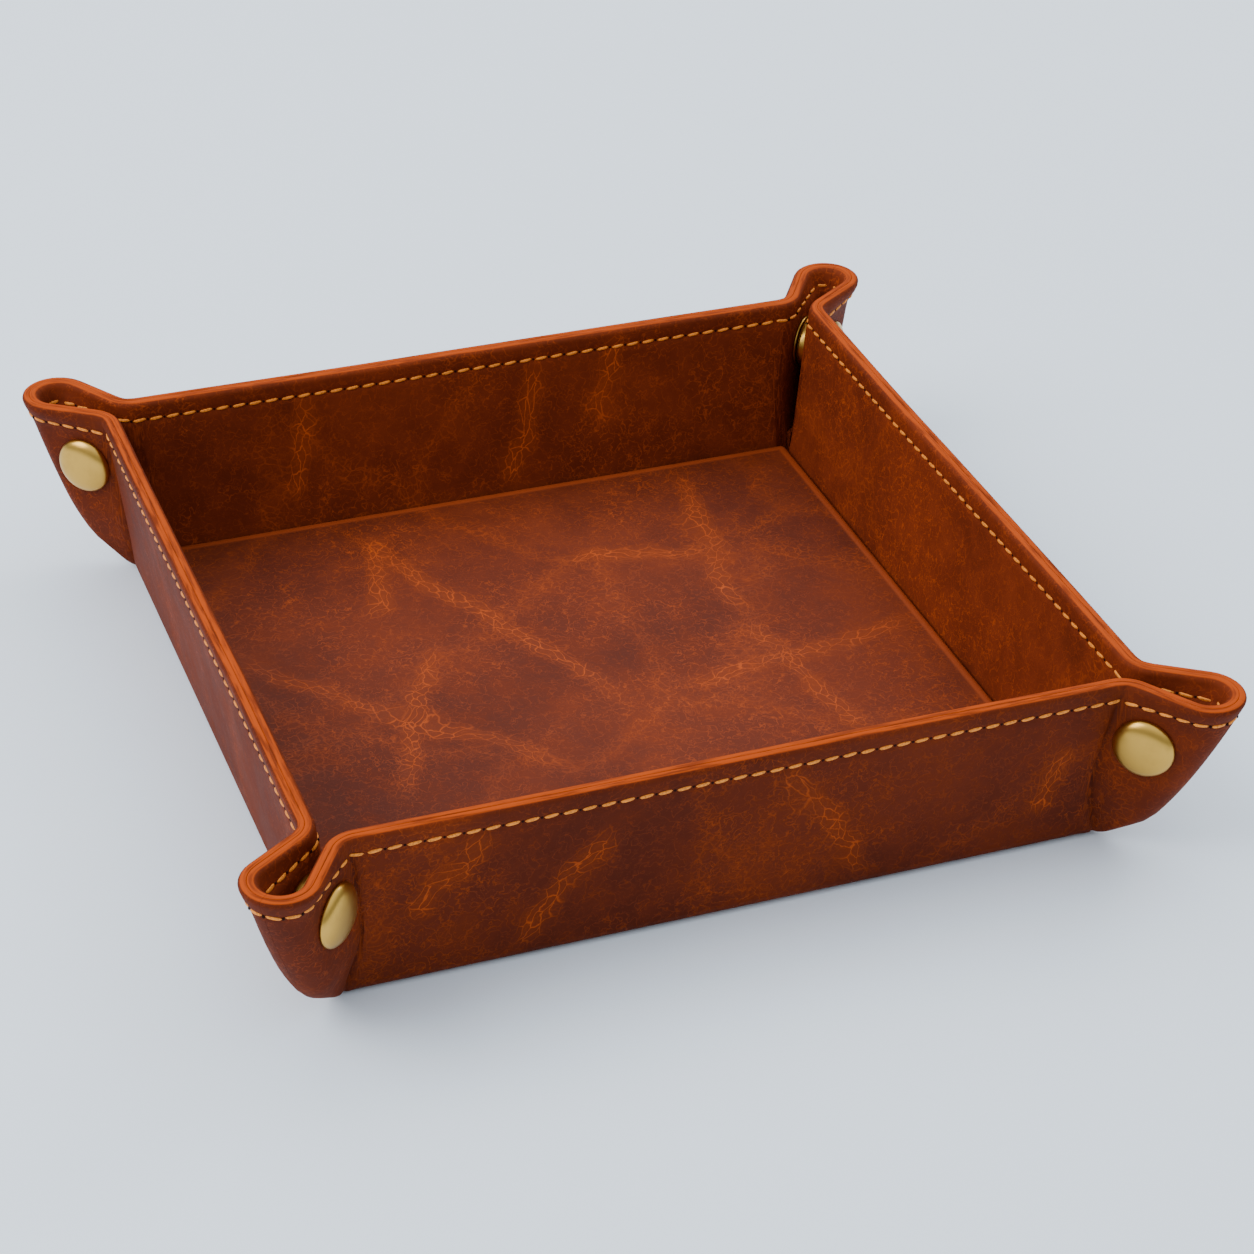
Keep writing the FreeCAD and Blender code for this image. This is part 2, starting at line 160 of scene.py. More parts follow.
class TraySizes(bpy.types.PropertyGroup):
    """Sizes of the tray that the frame's boxes don't give."""

    ear_reach: length("Ear Reach", "From the base corner out to the ear's tip at the rim", 28.5 * MM)
    ear_curve: bpy.props.FloatProperty(
        name="Ear Curve", description="Power of the ear's lower outline, rounder when smaller", default=0.577)
    pinch_half_gap: length("Pinch Half Gap", "Half the gap between the ear's linings at the bottom", 0.3 * MM)
    snap_half_gap: length("Snap Half Gap", "Half the gap between the ear's linings at the snap", 1.9 * MM)
    cap_height: length("Cap Height", "Height of a snap cap's dome", 2.9 * MM)
    pinch_margin: length("Pinch Margin",
                         "From where the gap reaches its full width up to the cap", PINCH_MARGIN)
    loop_flare: bpy.props.FloatProperty(
        name="Loop Flare", description="How far each half spreads into the loop at the rim",
        default=math.radians(12), subtype="ANGLE")
    foot_leather: bpy.props.FloatProperty(
        name="Foot Leather", description="How much of the leather's thickness is left at the foot of an ear",
        default=0.45, min=0.1, max=1)
    foot_tuck: bpy.props.FloatProperty(
        name="Foot Tuck", description="How far the foot of an ear is drawn in towards the base corner",
        default=0.4, min=0, max=0.5)
    foot_lift: length("Foot Lift", "How far the foot of an ear stands off the surface below", 1 * MM)
    tip_lap: length("Tip Lap", "How far the strip inside an ear's tip reaches into each half", 2.7 * MM)
    tip_slot: length("Tip Slot", "Depth of the slot for that strip in each leather", 1.1 * MM)
    bend_radius: length("Bend Radius",
                        "Bend of the leather from a wall into an ear, below the stitches", 2.9 * MM)
    rim_bend_radius: length("Rim Bend Radius", "The same bend at the rim", 7 * MM)
    fold_radius: length("Fold Radius", "Rounding of the leather at the foot of the walls", 3 * MM)
    rim_rounding: length("Rim Rounding", "Rounding of the shoulders beside the burnished rim", 1.3 * MM)
    glue_rounding: length("Glue Line Rounding",
                          "Rounding beside the line between the two leathers", 0.25 * MM)
    stitch_drop: length("Stitch Drop", "From the rim down to the stitches", 4.6 * MM)
    stitch_length: length("Stitch Length", "Visible length of one stitch", 3.65 * MM)
    stitch_pitch: length("Stitch Pitch", "From one stitch to the next", 4.25 * MM)
    thread: length("Thread", "Thickness of the thread", 0.85 * MM)
    groove: length("Stitch Groove", "Depth of the groove that the stitches pull into the leather", 0.25 * MM)
    stitch_slant: bpy.props.FloatProperty(
        name="Stitch Slant", description="How far each stitch leans off the seam",
        default=0.11, subtype="ANGLE")
    crease_depth: length("Crease Depth", "Depth of the crease where the ear leaves the wall", 0.4 * MM)
    softness: length("Softness", "How far the wall leathers wander from flat", 0.5 * MM)


def colour(name, description, default):
    """A colour property."""
    return bpy.props.FloatVectorProperty(
        name=name, description=description, default=default, size=3, min=0, max=1, subtype="COLOR")


class TrayColours(bpy.types.PropertyGroup):
    """Colours of the tray's finishes and of the stage."""

    leather_dark: colour("Dark Leather", "Deepest brown of the waxed leather", (0.085, 0.012, 0.004))
    leather_mid: colour("Leather", "Chestnut brown of the waxed leather", (0.2, 0.03, 0.007))
    leather_bright: colour("Pulled Up Leather", "Orange where a crease moves the wax", (0.52, 0.078, 0.006))
    edge: colour("Burnished Edge", "Orange brown of the rim", (0.42, 0.06, 0.005))
    thread: colour("Thread", "Waxed orange thread", (0.92, 0.285, 0.036))
    brass: colour("Brass", "Worn face of the antique brass", (0.58, 0.33, 0.065))
    patina: colour("Patina", "Dark brown in the brass", (0.3, 0.16, 0.035))
    board: colour("Board", "Grey board under the floor leather", (0.3, 0.26, 0.2))
    stage: colour("Stage", "Pale blue grey floor", (0.86, 0.92, 1.0))


class Value:
    """A shader socket that takes part in Python arithmetic."""

    def __init__(self, finish, socket):
        self.finish = finish
        self.socket = socket

    def math(self, operation, *values, clamp=False):
        settings = {"operation": operation, "use_clamp": clamp}
        return self.finish.node("ShaderNodeMath", settings, dict(enumerate(values)))

    def __add__(self, other):
        return self.math("ADD", self, other)

    def __radd__(self, other):
        return self.math("ADD", other, self)

    def __sub__(self, other):
        return self.math("SUBTRACT", self, other)

    def __rsub__(self, other):
        return self.math("SUBTRACT", other, self)

    def __mul__(self, other):
        return self.math("MULTIPLY", self, other)

    def __rmul__(self, other):
        return self.math("MULTIPLY", other, self)

    def __abs__(self):
        return self.math("ABSOLUTE", self)

    def at_most_one(self):
        """The value clamped between 0 and 1."""
        return self.math("ADD", self, 0.0, clamp=True)

    def larger(self, other):
        """The larger of two values."""
        return self.math("MAXIMUM", self, other)

    def smaller(self, other):
        """The smaller of two values."""
        return self.math("MINIMUM", self, other)


class Finish:
    """One material, or the world, and the nodes that make it."""

    def __init__(self, name, world=False):
        self.owner = (bpy.data.worlds if world else bpy.data.materials).new(name)
        self.owner.use_nodes = True
        self.tree = self.owner.node_tree
        self.tree.nodes.clear()

    def node(self, kind, settings=None, inputs=None, output=0):
        """Adds a node with its settings and its sockets' values or links, and gives one of its outputs."""
        node = self.tree.nodes.new(kind)
        for name, value in (settings or {}).items():
            setattr(node, name, value)
        for key, value in (inputs or {}).items():
            if isinstance(value, Value):
                self.tree.links.new(value.socket, node.inputs[key])
            else:
                node.inputs[key].default_value = value
        return Value(self, node.outputs[output]) if len(node.outputs) else None

    def place(self):
        """Place on the object, in metres."""
        return self.node("ShaderNodeTexCoord", output="Object")

    def vector(self, operation, *values, output=0):
        """Vector arithmetic."""
        return self.node("ShaderNodeVectorMath", {"operation": operation}, dict(enumerate(values)), output)

    def noise(self, place, scale, detail=3.0, roughness=0.55, output=0):
        """Soft noise, with scale in waves to the metre."""
        return self.node("ShaderNodeTexNoise", {}, {"Vector": place, "Scale": scale, "Detail": detail,
                                                    "Roughness": roughness}, output)

    def cell_walls(self, place, scale, width, dimensions="3D"):
        """Thin walls between scattered cells, with scale in cells to the metre."""
        distance = self.node("ShaderNodeTexVoronoi",
                             {"voronoi_dimensions": dimensions, "feature": "DISTANCE_TO_EDGE"},
                             {"Vector": place, "Scale": scale}, "Distance")
        return self.ramp(distance, 0.0, width, 1.0, 0.0)

    def lines(self, place, scale, width):
        """Thin winding lines where noise passes its middle value."""
        return self.ramp(abs(self.noise(place, scale, 2.0) - 0.5), 0.0, width, 1.0, 0.0)

    def wandering(self, place, scale, reach):
        """A place that strays by up to about half the reach."""
        stray = self.vector("SUBTRACT", self.noise(place, scale, 2.0, output="Color"), (0.5, 0.5, 0.5))
        return self.vector("ADD", place, self.vector("MULTIPLY", stray, (reach,) * 3))

    def ramp(self, value, low, high, start=0.0, end=1.0):
        """Runs smoothly from start to end as the value goes from low to high."""
        return self.node("ShaderNodeMapRange", {"interpolation_type": "SMOOTHSTEP"},
                         {0: value, 1: low, 2: high, 3: start, 4: end})

    def mix(self, first, second, factor):
        """One colour over another."""
        colours = [part if isinstance(part, Value) else (*part, 1.0) for part in (first, second)]
        return self.node("ShaderNodeMix", {"data_type": "RGBA"}, {0: factor, 6: colours[0], 7: colours[1]}, 2)

    def bump(self, height, distance, strength):
        """Normal of a surface raised by the height."""
        return self.node("ShaderNodeBump", {}, {"Height": height, "Distance": distance, "Strength": strength})

    def surface(self, **inputs):
        """Ends the material in a surface with these sockets."""
        named = {key.replace("_", " "): value for key, value in inputs.items()}
        shader = self.node("ShaderNodeBsdfPrincipled", {}, named)
        self.node("ShaderNodeOutputMaterial", {}, {"Surface": shader})
        return self.owner


def shaded(tone, share):
    """A colour at a share of its lightness."""
    return [part * share for part in tone]


def crease_mark(finish, place, curled, start, end, upright):
    """How strongly one crease shows at a place, and the chain of fine lines along it.

    An upright crease runs over x and z, another over x and y.
    """
    first = Vector((start[0], 0, start[1]) if upright else (start[0], start[1], 0)) * MM
    last = Vector((end[0], 0, end[1]) if upright else (end[0], end[1], 0)) * MM
    along = (last - first).normalized()
    across = along.cross(Vector((0, 1, 0) if upright else (0, 0, 1)))
    middle = (last - first).length / 2

    def measured(point, way):
        return finish.vector("DOT_PRODUCT", finish.vector("SUBTRACT", point, first), way, output="Value")

    run = abs(measured(place, along) - middle)
    band = finish.ramp(abs(measured(place, across)), 0.4 * MM, 5.0 * MM, 1.0, 0.0)
    band = band * finish.ramp(run, middle * 0.65, middle * 1.12, 1.0, 0.0)
    links = finish.node("ShaderNodeCombineXYZ", {},
                        {0: measured(curled, along) * 0.45, 1: measured(curled, across)})
    return band, band * finish.cell_walls(links, 520, 0.09, "2D")


def leather_finish(name, colours, creases, upright, painted_shade, panel=False):
    """Waxed pull-up leather: brown with fine curly lines, orange where creases have moved the wax."""
    finish = Finish(name)
    tones = (colours.leather_dark, colours.leather_mid, colours.leather_bright)
    # Painted shade: all three leather colours are scaled down by this leather's share
    dark, mid, bright = (shaded(tone, painted_shade) for tone in tones)
    place = finish.node("ShaderNodeAttribute", {"attribute_name": "leather_place"}, {}, "Vector")
    x, y, z = (finish.node("ShaderNodeSeparateXYZ", {}, {0: place}, axis) for axis in range(3))
    bent = finish.wandering(place, 48, 14 * MM)
    curled = finish.wandering(bent, 330, 2.4 * MM)
    ripple = finish.wandering(place, 330, 2.2 * MM)
    clouds = finish.ramp(finish.noise(place, 20, 3.0), 0.34, 0.68)
    blotches = finish.ramp(finish.noise(place, 120, 3.0, 0.6), 0.34, 0.7)
    patches = finish.ramp(finish.noise(place, 36, 2.0), 0.42, 0.64)
    hairs = finish.lines(ripple, 260, 0.022)
    fine_hairs = finish.lines(ripple, 520, 0.03)
    bands = finish.cell_walls(bent, 14, 0.06) * 0.3
    chains = bands * finish.cell_walls(curled, 420, 0.1)
    for start, end in creases:
        band, chain = crease_mark(finish, bent, curled, start, end, upright)
        bands = bands.larger(band)
        chains = chains.larger(chain)
    curls = hairs * (0.17 + 0.2 * patches) + fine_hairs * (0.11 + 0.14 * patches)
    broken = finish.ramp(finish.noise(place, 90, 2.0), 0.3, 0.6, 0.5, 1.0)
    vein = bands * 0.17 + chains * broken * 0.85 + curls * (1 - 0.4 * bands)
    tone = finish.mix(dark, mid, 0.25 + 0.45 * clouds + 0.3 * blotches)
    height = finish.noise(place, 1500, 2.0) * 0.5 - chains * 0.7 - curls * 0.8
    if panel:
        # Brighter band round the panel's edge: pull-up where the leather turns over the board, and a painted
        # highlight on the rounded edge
        out = abs(x).larger(abs(y))
        vein = vein.larger(finish.ramp(out, FLOOR_HIGH.x - 2.9 * MM, FLOOR_HIGH.x - 2.0 * MM, 0.0, 0.42))
    else:
        pinch = SNAP_HEIGHT - CAP_RADIUS - PINCH_MARGIN
        bend_line = (z - pinch).larger(0.0) * (RIM_OVERHANG / RIM_HEIGHT) + (CREASE + 0.35 * MM)
        bend_line = bend_line + finish.ramp(z, 0.0, pinch, 3.0 * MM, 0.0)
        along = abs(abs(x).smaller(abs(y)) - bend_line)
        held = finish.ramp(z, 0.0, 8 * MM) * finish.ramp(z, RIM_HEIGHT - 9 * MM, RIM_HEIGHT, 1.0, 0.2)
        upright_place = finish.vector("MULTIPLY", place, (1.0, 1.0, 0.1))
        wrinkles = finish.lines(upright_place, 520, 0.05) * finish.ramp(along, 0.0, 5 * MM, 1.0, 0.0) * held
        vein = vein.larger(wrinkles * 0.35)
        height = height - wrinkles * 1.6
        # Painted shade: darker within a millimetre of the crease where the ear bends off the wall
        tone = finish.mix(tone, dark, finish.ramp(along, 0.1 * MM, 0.9 * MM, 0.75, 0.0) * held)
    tone = finish.mix(tone, bright, vein.at_most_one())
    shine = 0.64 + 0.08 * blotches - 0.08 * vein
    if not panel:
        rim = finish.ramp(z, RIM_HEIGHT - 0.3 * MM, RIM_HEIGHT - 0.08 * MM)
        depth = finish.node("ShaderNodeAttribute", {"attribute_name": "leather_depth"}, {}, "Fac")
        across = finish.node("ShaderNodeCombineXYZ", {}, {2: depth})
        along_rim = finish.vector("ADD", finish.vector("MULTIPLY", place, (0.07, 0.07, 0.0)), across)
        layers = finish.noise(along_rim, 1300, 3.0, 0.6)
        edge = finish.mix(colours.edge, mid, finish.ramp(layers, 0.44, 0.68, 0.0, 0.85))
        tone = finish.mix(tone, edge, rim)
        shine = shine + rim * 0.08
    return finish.surface(Base_Color=tone, Roughness=shine, Specular_IOR_Level=0.15 if panel else 0.07,
                          Normal=finish.bump(height, 0.13 * MM, 0.5))


def brass_finish(name, colours):
    """Antique brass: a satin face with a little brown patina left in it."""
    finish = Finish(name)
    place = finish.place()
    patches = finish.ramp(finish.noise(place, 170, 3.0, 0.6), 0.45, 0.8)
    scuffs = finish.noise(place, 2600, 2.0, 0.6)
    tone = finish.mix(colours.brass, colours.patina, patches * 0.25)
    rough = 0.27 + 0.08 * patches + 0.05 * scuffs
    return finish.surface(Base_Color=tone, Metallic=1.0, Roughness=rough,
                          Normal=finish.bump(scuffs, 0.01 * MM, 0.3))


def thread_finish(name, colours):
    """Waxed thread with a fine twist, and painted shade for the needle holes at its ends."""
    finish = Finish(name)
    place = finish.place()
    strands = finish.noise(place, 2200, 2.0, 0.5)
    hole = finish.node("ShaderNodeAttribute", {"attribute_name": "needle_hole_shade"}, {}, "Fac")
    tone = finish.mix(colours.thread, shaded(colours.thread, 0.6), finish.ramp(strands, 0.4, 0.72))
    # Painted shade: the needle holes at the stitch ends are near black
    tone = finish.mix(tone, shaded(colours.leather_dark, 0.2), hole)
    return finish.surface(Base_Color=tone, Roughness=0.55 + 0.4 * hole, Specular_IOR_Level=0.15,
                          Normal=finish.bump(strands, 0.06 * MM, 0.6))


def board_finish(name, colours):
    """Plain grey board."""
    finish = Finish(name)
    fibres = finish.noise(finish.place(), 900, 4.0, 0.6)
    tone = finish.mix(colours.board, shaded(colours.board, 0.7), fibres)
    return finish.surface(Base_Color=tone, Roughness=0.9)


def stage_finish(name, colours):
    """Plain pale floor."""
    finish = Finish(name)
    fleck = finish.noise(finish.place(), 40, 2.0)
    tone = finish.mix(colours.stage, shaded(colours.stage, 0.985), fleck)
    return finish.surface(Base_Color=tone, Roughness=0.85, Specular_IOR_Level=0.1)


def material(name, maker, *values):
    """The named material, made the first time it is asked for."""
    return bpy.data.materials.get(name) or maker(name, *values)


def leathers(colours):
    """The waxed leather of the outside and that of the lining."""
    outer = material("waxed_outer", leather_finish, colours, FRONT_CREASES, True, OUTER_PAINTED_SHADE)
    lining = material("waxed_lining", leather_finish, colours, LINING_CREASES, True, LINING_PAINTED_SHADE)
    return outer, lining


def smooth_step(x):
    """Runs from 0 to 1 without a corner."""
    x = min(max(x, 0.0), 1.0)
    return x * x * (3 - 2 * x)


def ear_level(sizes, z):
    """The line midway through an ear's leather at one height: a bend by the wall, a straight run and a loop.

    u runs out from the base corner along the corner's middle plane, and v across it. The foot is pared thin.
    """
    z = max(z, sizes.pinch_half_gap)
    root2 = math.sqrt(2)
    lean = RIM_OVERHANG * z / RIM_HEIGHT
    rise = smooth_step(z / (SNAP_HEIGHT - CAP_RADIUS - sizes.pinch_margin))
    thin = sizes.foot_leather + (1 - sizes.foot_leather) * rise
    leather = LEATHER * thin
    near = leather + sizes.pinch_half_gap + (sizes.snap_half_gap - sizes.pinch_half_gap) * rise
    flare_start = SNAP_HEIGHT + CAP_RADIUS
    eased = smooth_step((z - flare_start) / (RIM_HEIGHT - flare_start))
    flare = sizes.loop_flare * eased
    crease = BASE_HALF - CREASE + lean - leather
    widest = (crease / root2 - near) / (1 - math.cos(math.pi / 4))
    bend = min(0.8 * widest, sizes.bend_radius * thin + (sizes.rim_bend_radius - sizes.bend_radius) * eased)
    bend_u = root2 * (lean - leather) - near + (root2 - 1) * bend
    foot = 1 - sizes.foot_tuck * (1 - smooth_step(z / TUCK_HEIGHT))
    tip = sizes.ear_reach * foot * (min(z, RIM_HEIGHT) / RIM_HEIGHT) ** sizes.ear_curve - leather
    spread = near + bend * (1 - math.cos(flare))
    reach = tip - bend_u - bend * math.sin(flare) - spread * (1 + math.sin(flare)) / math.cos(flare)
    run = reach / (math.cos(flare) + math.tan(flare) * (1 + math.sin(flare)))
    loop = (spread + run * math.sin(flare)) / math.cos(flare)
    return {"flare": flare, "thin": thin, "lean": lean, "bend": bend, "bend_u": bend_u, "bend_v": near + bend,
            "loop": loop, "loop_u": tip - loop}


def crease_dent(sizes, away, z, offset):
    """Depth of the crease at a distance from it, which only the outer face shows."""
    if offset < LEATHER / 2:
        return 0.0
    faded = smooth_step((z - SNAP_HEIGHT) / (RIM_HEIGHT - SNAP_HEIGHT))
    held = smooth_step(z / (6 * MM)) * (1 - 0.55 * faded)
    return sizes.crease_depth * held * math.exp(-(away / (0.7 * MM)) ** 2)


def ear_point(sizes, share, z, offset):
    """Point of the socket half of the back right ear, at a share of its way from the wall's end to the tip.

    Its quarters are the last straight stretch of the wall, the bend, the straight run and the loop.
    """
    level = ear_level(sizes, z)
    root2 = math.sqrt(2)
    flare = level["flare"]
    sweep = math.pi / 4 + flare
    half_bend = max(level["bend"] - offset * level["thin"], 0.0) * sweep / 2
    quarter = min(int(share * 4), 3)
    part = share * 4 - quarter
    lifted = z + sizes.foot_lift * smooth_step(share * 2) * (1 - smooth_step(z / LIFT_HEIGHT))
    if quarter == 0:
        length = BASE_HALF + (level["bend_u"] - level["bend_v"]) / root2 - CREASE
        pared = 1 + (level["thin"] - 1) * smooth_step(part)
        dent = crease_dent(sizes, half_bend + length * (1 - part), z, offset)
        across = level["lean"] - LEATHER * pared + offset * pared - dent
        return Vector((BASE_HALF + across, CREASE + length * part, lifted))
    dented = offset
    offset *= level["thin"]
    if quarter == 1:
        offset -= crease_dent(sizes, half_bend * abs(2 * part - 1), z, dented)
        turn = sweep * part - math.pi / 4
        radius = level["bend"] - offset
        u = level["bend_u"] + radius * math.sin(turn)
        v = level["bend_v"] - radius * math.cos(turn)
    elif quarter == 2:
        run = math.dist(run_end(level, "bend", offset), run_end(level, "loop", offset))
        offset -= crease_dent(sizes, half_bend + run * part, z, dented)
        ends = zip(run_end(level, "bend", offset), run_end(level, "loop", offset))
        u, v = (a + (b - a) * part for a, b in ends)
    else:
        radius = max(level["loop"] + offset, TIP_ROOM)
        turn = flare - (math.pi / 2 + flare - TIP_ROOM / radius) * math.sin(part * math.pi / 2)
        u = level["loop_u"] - radius * math.sin(turn)
        v = radius * math.cos(turn)
    return Vector((BASE_HALF + (u + v) / root2, BASE_HALF + (u - v) / root2, lifted))


def run_end(level, piece, offset):
    """Where an ear's straight run meets its bend or its loop, along and across the middle plane."""
    flare = level["flare"]
    if piece == "bend":
        radius = level["bend"] - offset
        return level["bend_u"] + radius * math.sin(flare), level["bend_v"] - radius * math.cos(flare)
    radius = level["loop"] + offset
    return level["loop_u"] - radius * math.sin(flare), radius * math.cos(flare)


def shaped_point(sizes, facing, share, z, offset):
    """Point of an ear's leather, with a slot near the tip for the strip inside it and a closed sole.

    facing is 1 for the outer leather and -1 for the lining. The sole is the one point of the section that
    lies deeper than the leathers, and it reaches the middle plane.
    """
    level = ear_level(sizes, z)
    if offset < -LEATHER:
        turn = math.pi / 4 * (min(max(share * 4 - 1, 0.0), 1.0) - 1)
        wall_sole = LEATHER - sizes.fold_radius
        ear_sole = (level["bend"] - level["bend_v"] / math.cos(turn)) / level["thin"]
        offset = wall_sole + (ear_sole - wall_sole) * smooth_step(share * 4)
    elif offset == 0:
        part = max(share * 4 - 3, 0.0)
        distance = level["loop"] * (math.pi / 2 + level["flare"]) * (1 - math.sin(part * math.pi / 2))
        below_rim = smooth_step((SLOT_TOP - z) / SLOT_EASE)
        near_tip = smooth_step((sizes.tip_lap + SLOT_ROOM - distance) / SLOT_END)
        offset = facing * sizes.tip_slot * below_rim * near_tip
    return ear_point(sizes, share, z, offset)


def strip_point(sizes, side, z, offset):
    """Point of the strip inside the back right ear's tip, from side -1 in the socket half to 1 in the other.

    In the other half it lies on the outer side of its slot, because it turns inwards there as the ear opens.
    """
    level = ear_level(sizes, z)
    angle = min(abs(side) * sizes.tip_lap / level["loop"], 1.4)
    part = math.asin(1 - angle / (math.pi / 2 + level["flare"])) / (math.pi / 2)
    point = ear_point(sizes, (3 + part) / 4, z, offset + STRIP_SHIFT * sizes.tip_slot * max(side, 0.0))
    return Vector((point.y, point.x, point.z)) if side > 0 else point


def fold_point(sizes, share, z, side):
    """Point of the thin fold between the back right ear's halves, at a share of its way to the tip.

    side is 1 or -1. The fold takes up most of the gap between the linings, and its wide foot lies inside
    their leather.
    """
    below = ear_level(sizes, z - sizes.foot_lift)
    gap = FOLD_FILL * (below["bend_v"] - below["bend"] - LEATHER * below["thin"])
    v = side * (FOLD_FOOT if z < FOLD_FOOT_HEIGHT else gap)
    end = below["loop_u"] + below["loop"] + LEATHER * below["thin"] - FOLD_SHORT
    u = FOLD_START + (end - FOLD_START) * share
    return Vector((BASE_HALF + (u + v) / math.sqrt(2), BASE_HALF + (u - v) / math.sqrt(2), z))


def wall_point(sizes, share, z, offset):
    """Point of the right wall at a share of its way from its front crease to the back one, in soft waves."""
    y = CREASE * (2 * share - 1)
    x = BASE_HALF + RIM_OVERHANG * z / RIM_HEIGHT - LEATHER + offset
    held = smooth_step(min(share, 1 - share) * 6) * smooth_step(z / RIM_HEIGHT * 2)
    wave = noise.noise(Vector((0.3, y * 22, z * 30))) * sizes.softness * held
    return Vector((x + wave, y, z))


def wall_shares():
    """Even shares along a wall."""
    return [step / 72 for step in range(73)]


def ear_shares():
    """Shares along an ear half: each quarter has its own number of steps."""
    shares = [0.0]
    for quarter, steps in enumerate((6, 10, 10, 14)):
        shares += [(quarter + step / steps) / 4 for step in range(1, steps + 1)]
    return shares


def corner_turn(count, mirrored=False):
    """Turns a piece of the first wall or corner to another, and mirrors a socket half into a stud half."""
    turn = Matrix.Rotation(math.pi / 2 * count, 4, "Z")
    if mirrored:
        swap = Matrix(((0, 1, 0, 0), (1, 0, 0, 0), (0, 0, 1, 0), (0, 0, 0, 1)))
        turn = turn @ swap
    return turn


def arc(centre, radius, start, end, steps):
    """Points of a section's rounding, as heights and offsets. Angles are in degrees from the outward way."""
    points = []
    for step in range(steps + 1):
        angle = math.radians(start + (end - start) * step / steps)
        points.append((centre[0] + radius * math.sin(angle), centre[1] + radius * math.cos(angle)))
    return points


def face_heights(sizes, low, high):
    """Heights down one leather face: even steps, with close ones where the stitches pull a groove."""
    seam = RIM_HEIGHT - sizes.stitch_drop
    near = [seam + step * 0.45 * MM for step in range(-5, 6)]
    steps = 14
    plain = [low + (near[0] - low) * step / steps for step in range(steps)]
    return plain + near + [(near[-1] + high) / 2, high]


def seam_groove(sizes, z):
    """Depth of the stitch groove at one height."""
    away = (z - RIM_HEIGHT + sizes.stitch_drop) / (0.9 * MM)
    return sizes.groove * math.exp(-away * away)


def glue_heights(low):
    """Heights down the line between the two leathers."""
    shares = (0.86, 0.72, 0.58, 0.44, 0.3, 0.18)
    return [RIM_HEIGHT - 1 * MM] + [RIM_HEIGHT * share for share in shares] + [low]


def strip_section(sizes):
    """Section of the strip inside an ear's tip: up one face and down the other."""
    half = STRIP_HALF * sizes.tip_slot
    heights = [STRIP_TOP] + glue_heights(STRIP_FOOT)
    return [(z, half) for z in heights[::-1]] + [(z, -half) for z in heights]


def outer_section(sizes):
    """Section of the outer leather: round the bottom fold, up its face, over the rim, down the glue line."""
    fold, rim, glue = sizes.fold_radius, sizes.rim_rounding, sizes.glue_rounding
    rows = arc((fold, LEATHER - fold), fold, -90, 0, 6)
    rows += [(z, LEATHER - seam_groove(sizes, z)) for z in face_heights(sizes, fold, RIM_HEIGHT - rim)[1:-1]]
    rows += arc((RIM_HEIGHT - rim, LEATHER - rim), rim, 0, 90, 4)
    rows += arc((RIM_HEIGHT - glue, glue), glue, 90, 180, 3)
    return rows + [(z, 0.0) for z in glue_heights(0.9 * LEATHER)]


def lining_section(sizes):
    """Section of the lining: down its face from the rim to the floor, and back up along the glue line."""
    rim, glue = sizes.rim_rounding, sizes.glue_rounding
    floor = 2 * LEATHER
    rows = arc((RIM_HEIGHT - glue, -glue), glue, 0, 90, 3)
    rows += arc((RIM_HEIGHT - rim, rim - LEATHER), rim, 90, 180, 4)
    face = [(z, seam_groove(sizes, z) - LEATHER) for z in face_heights(sizes, floor, RIM_HEIGHT - rim)[:-1]]
    return rows + face[::-1] + [(LEATHER, -LEATHER)] + [(z, 0.0) for z in glue_heights(LEATHER)[::-1]]


def deselect():
    """Leaves nothing selected, in object mode."""
    if bpy.context.object and bpy.context.object.mode != "OBJECT":
        bpy.ops.object.mode_set(mode="OBJECT")
    bpy.ops.object.select_all(action="DESELECT")


def laid_grid(name, columns, rows, place, depth=None):
    """A grid laid out by place(column, row), closed where its sides meet and filled at its ends.

    depth(row), where it is given, is kept on the points for the streaks along the rim. So is each point's
    place, because the leather's pattern has to stay on it where it bends.
    """
    deselect()
    bpy.ops.mesh.primitive_grid_add(x_subdivisions=columns, y_subdivisions=rows, size=2)
    obj = bpy.context.object
    obj.name = obj.data.name = name
    depths = []
    for vertex in obj.data.vertices:
        column = round((vertex.co.x + 1) / 2 * columns)
        row = round((vertex.co.y + 1) / 2 * rows)
        vertex.co = place(column, row)
        depths.append(depth(row) if depth else 0.0)
    obj.data.attributes.new("leather_depth", "FLOAT", "POINT").data.foreach_set("value", depths)
    tidy(obj)
    places = [part for vertex in obj.data.vertices for part in vertex.co]
    obj.data.attributes.new("leather_place", "FLOAT_VECTOR", "POINT").data.foreach_set("vector", places)
    return obj


def tidy(obj):
    """Merges doubles, fills open ends, turns the faces outwards and shades smooth between its edges."""
    bpy.ops.object.mode_set(mode="EDIT")
    bpy.ops.mesh.select_all(action="SELECT")
    bpy.ops.mesh.remove_doubles(threshold=0.001 * MM)
    bpy.ops.mesh.fill_holes(sides=0)
    bpy.ops.mesh.select_all(action="SELECT")
    bpy.ops.mesh.normals_make_consistent(inside=False)
    bpy.ops.object.mode_set(mode="OBJECT")
    bpy.ops.object.shade_smooth_by_angle(angle=math.radians(42))


def leather_strip(name, section, shares, point, turn):
    """One leather swept along a wall or an ear half: the section's rows go round, the shares along."""
    count = len(section)

    def place(column, row):
        z, offset = section[row % count]
        return turn @ point(shares[column], z, offset)

    return laid_grid(name, len(shares) - 1, count, place, lambda row: section[row % count][1])


def dress(obj, finish):
    """Gives a piece its material."""
    obj.data.materials.clear()
    obj.data.materials.append(finish)
    return obj


def on_wall(obj):
    """Bakes a wall leather's transform into its points."""
    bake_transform(obj)


def on_ear(obj, count, mirrored):
    """Bakes an ear piece's transform into its points."""
    turn = corner_turn(count, mirrored)
    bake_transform(obj)


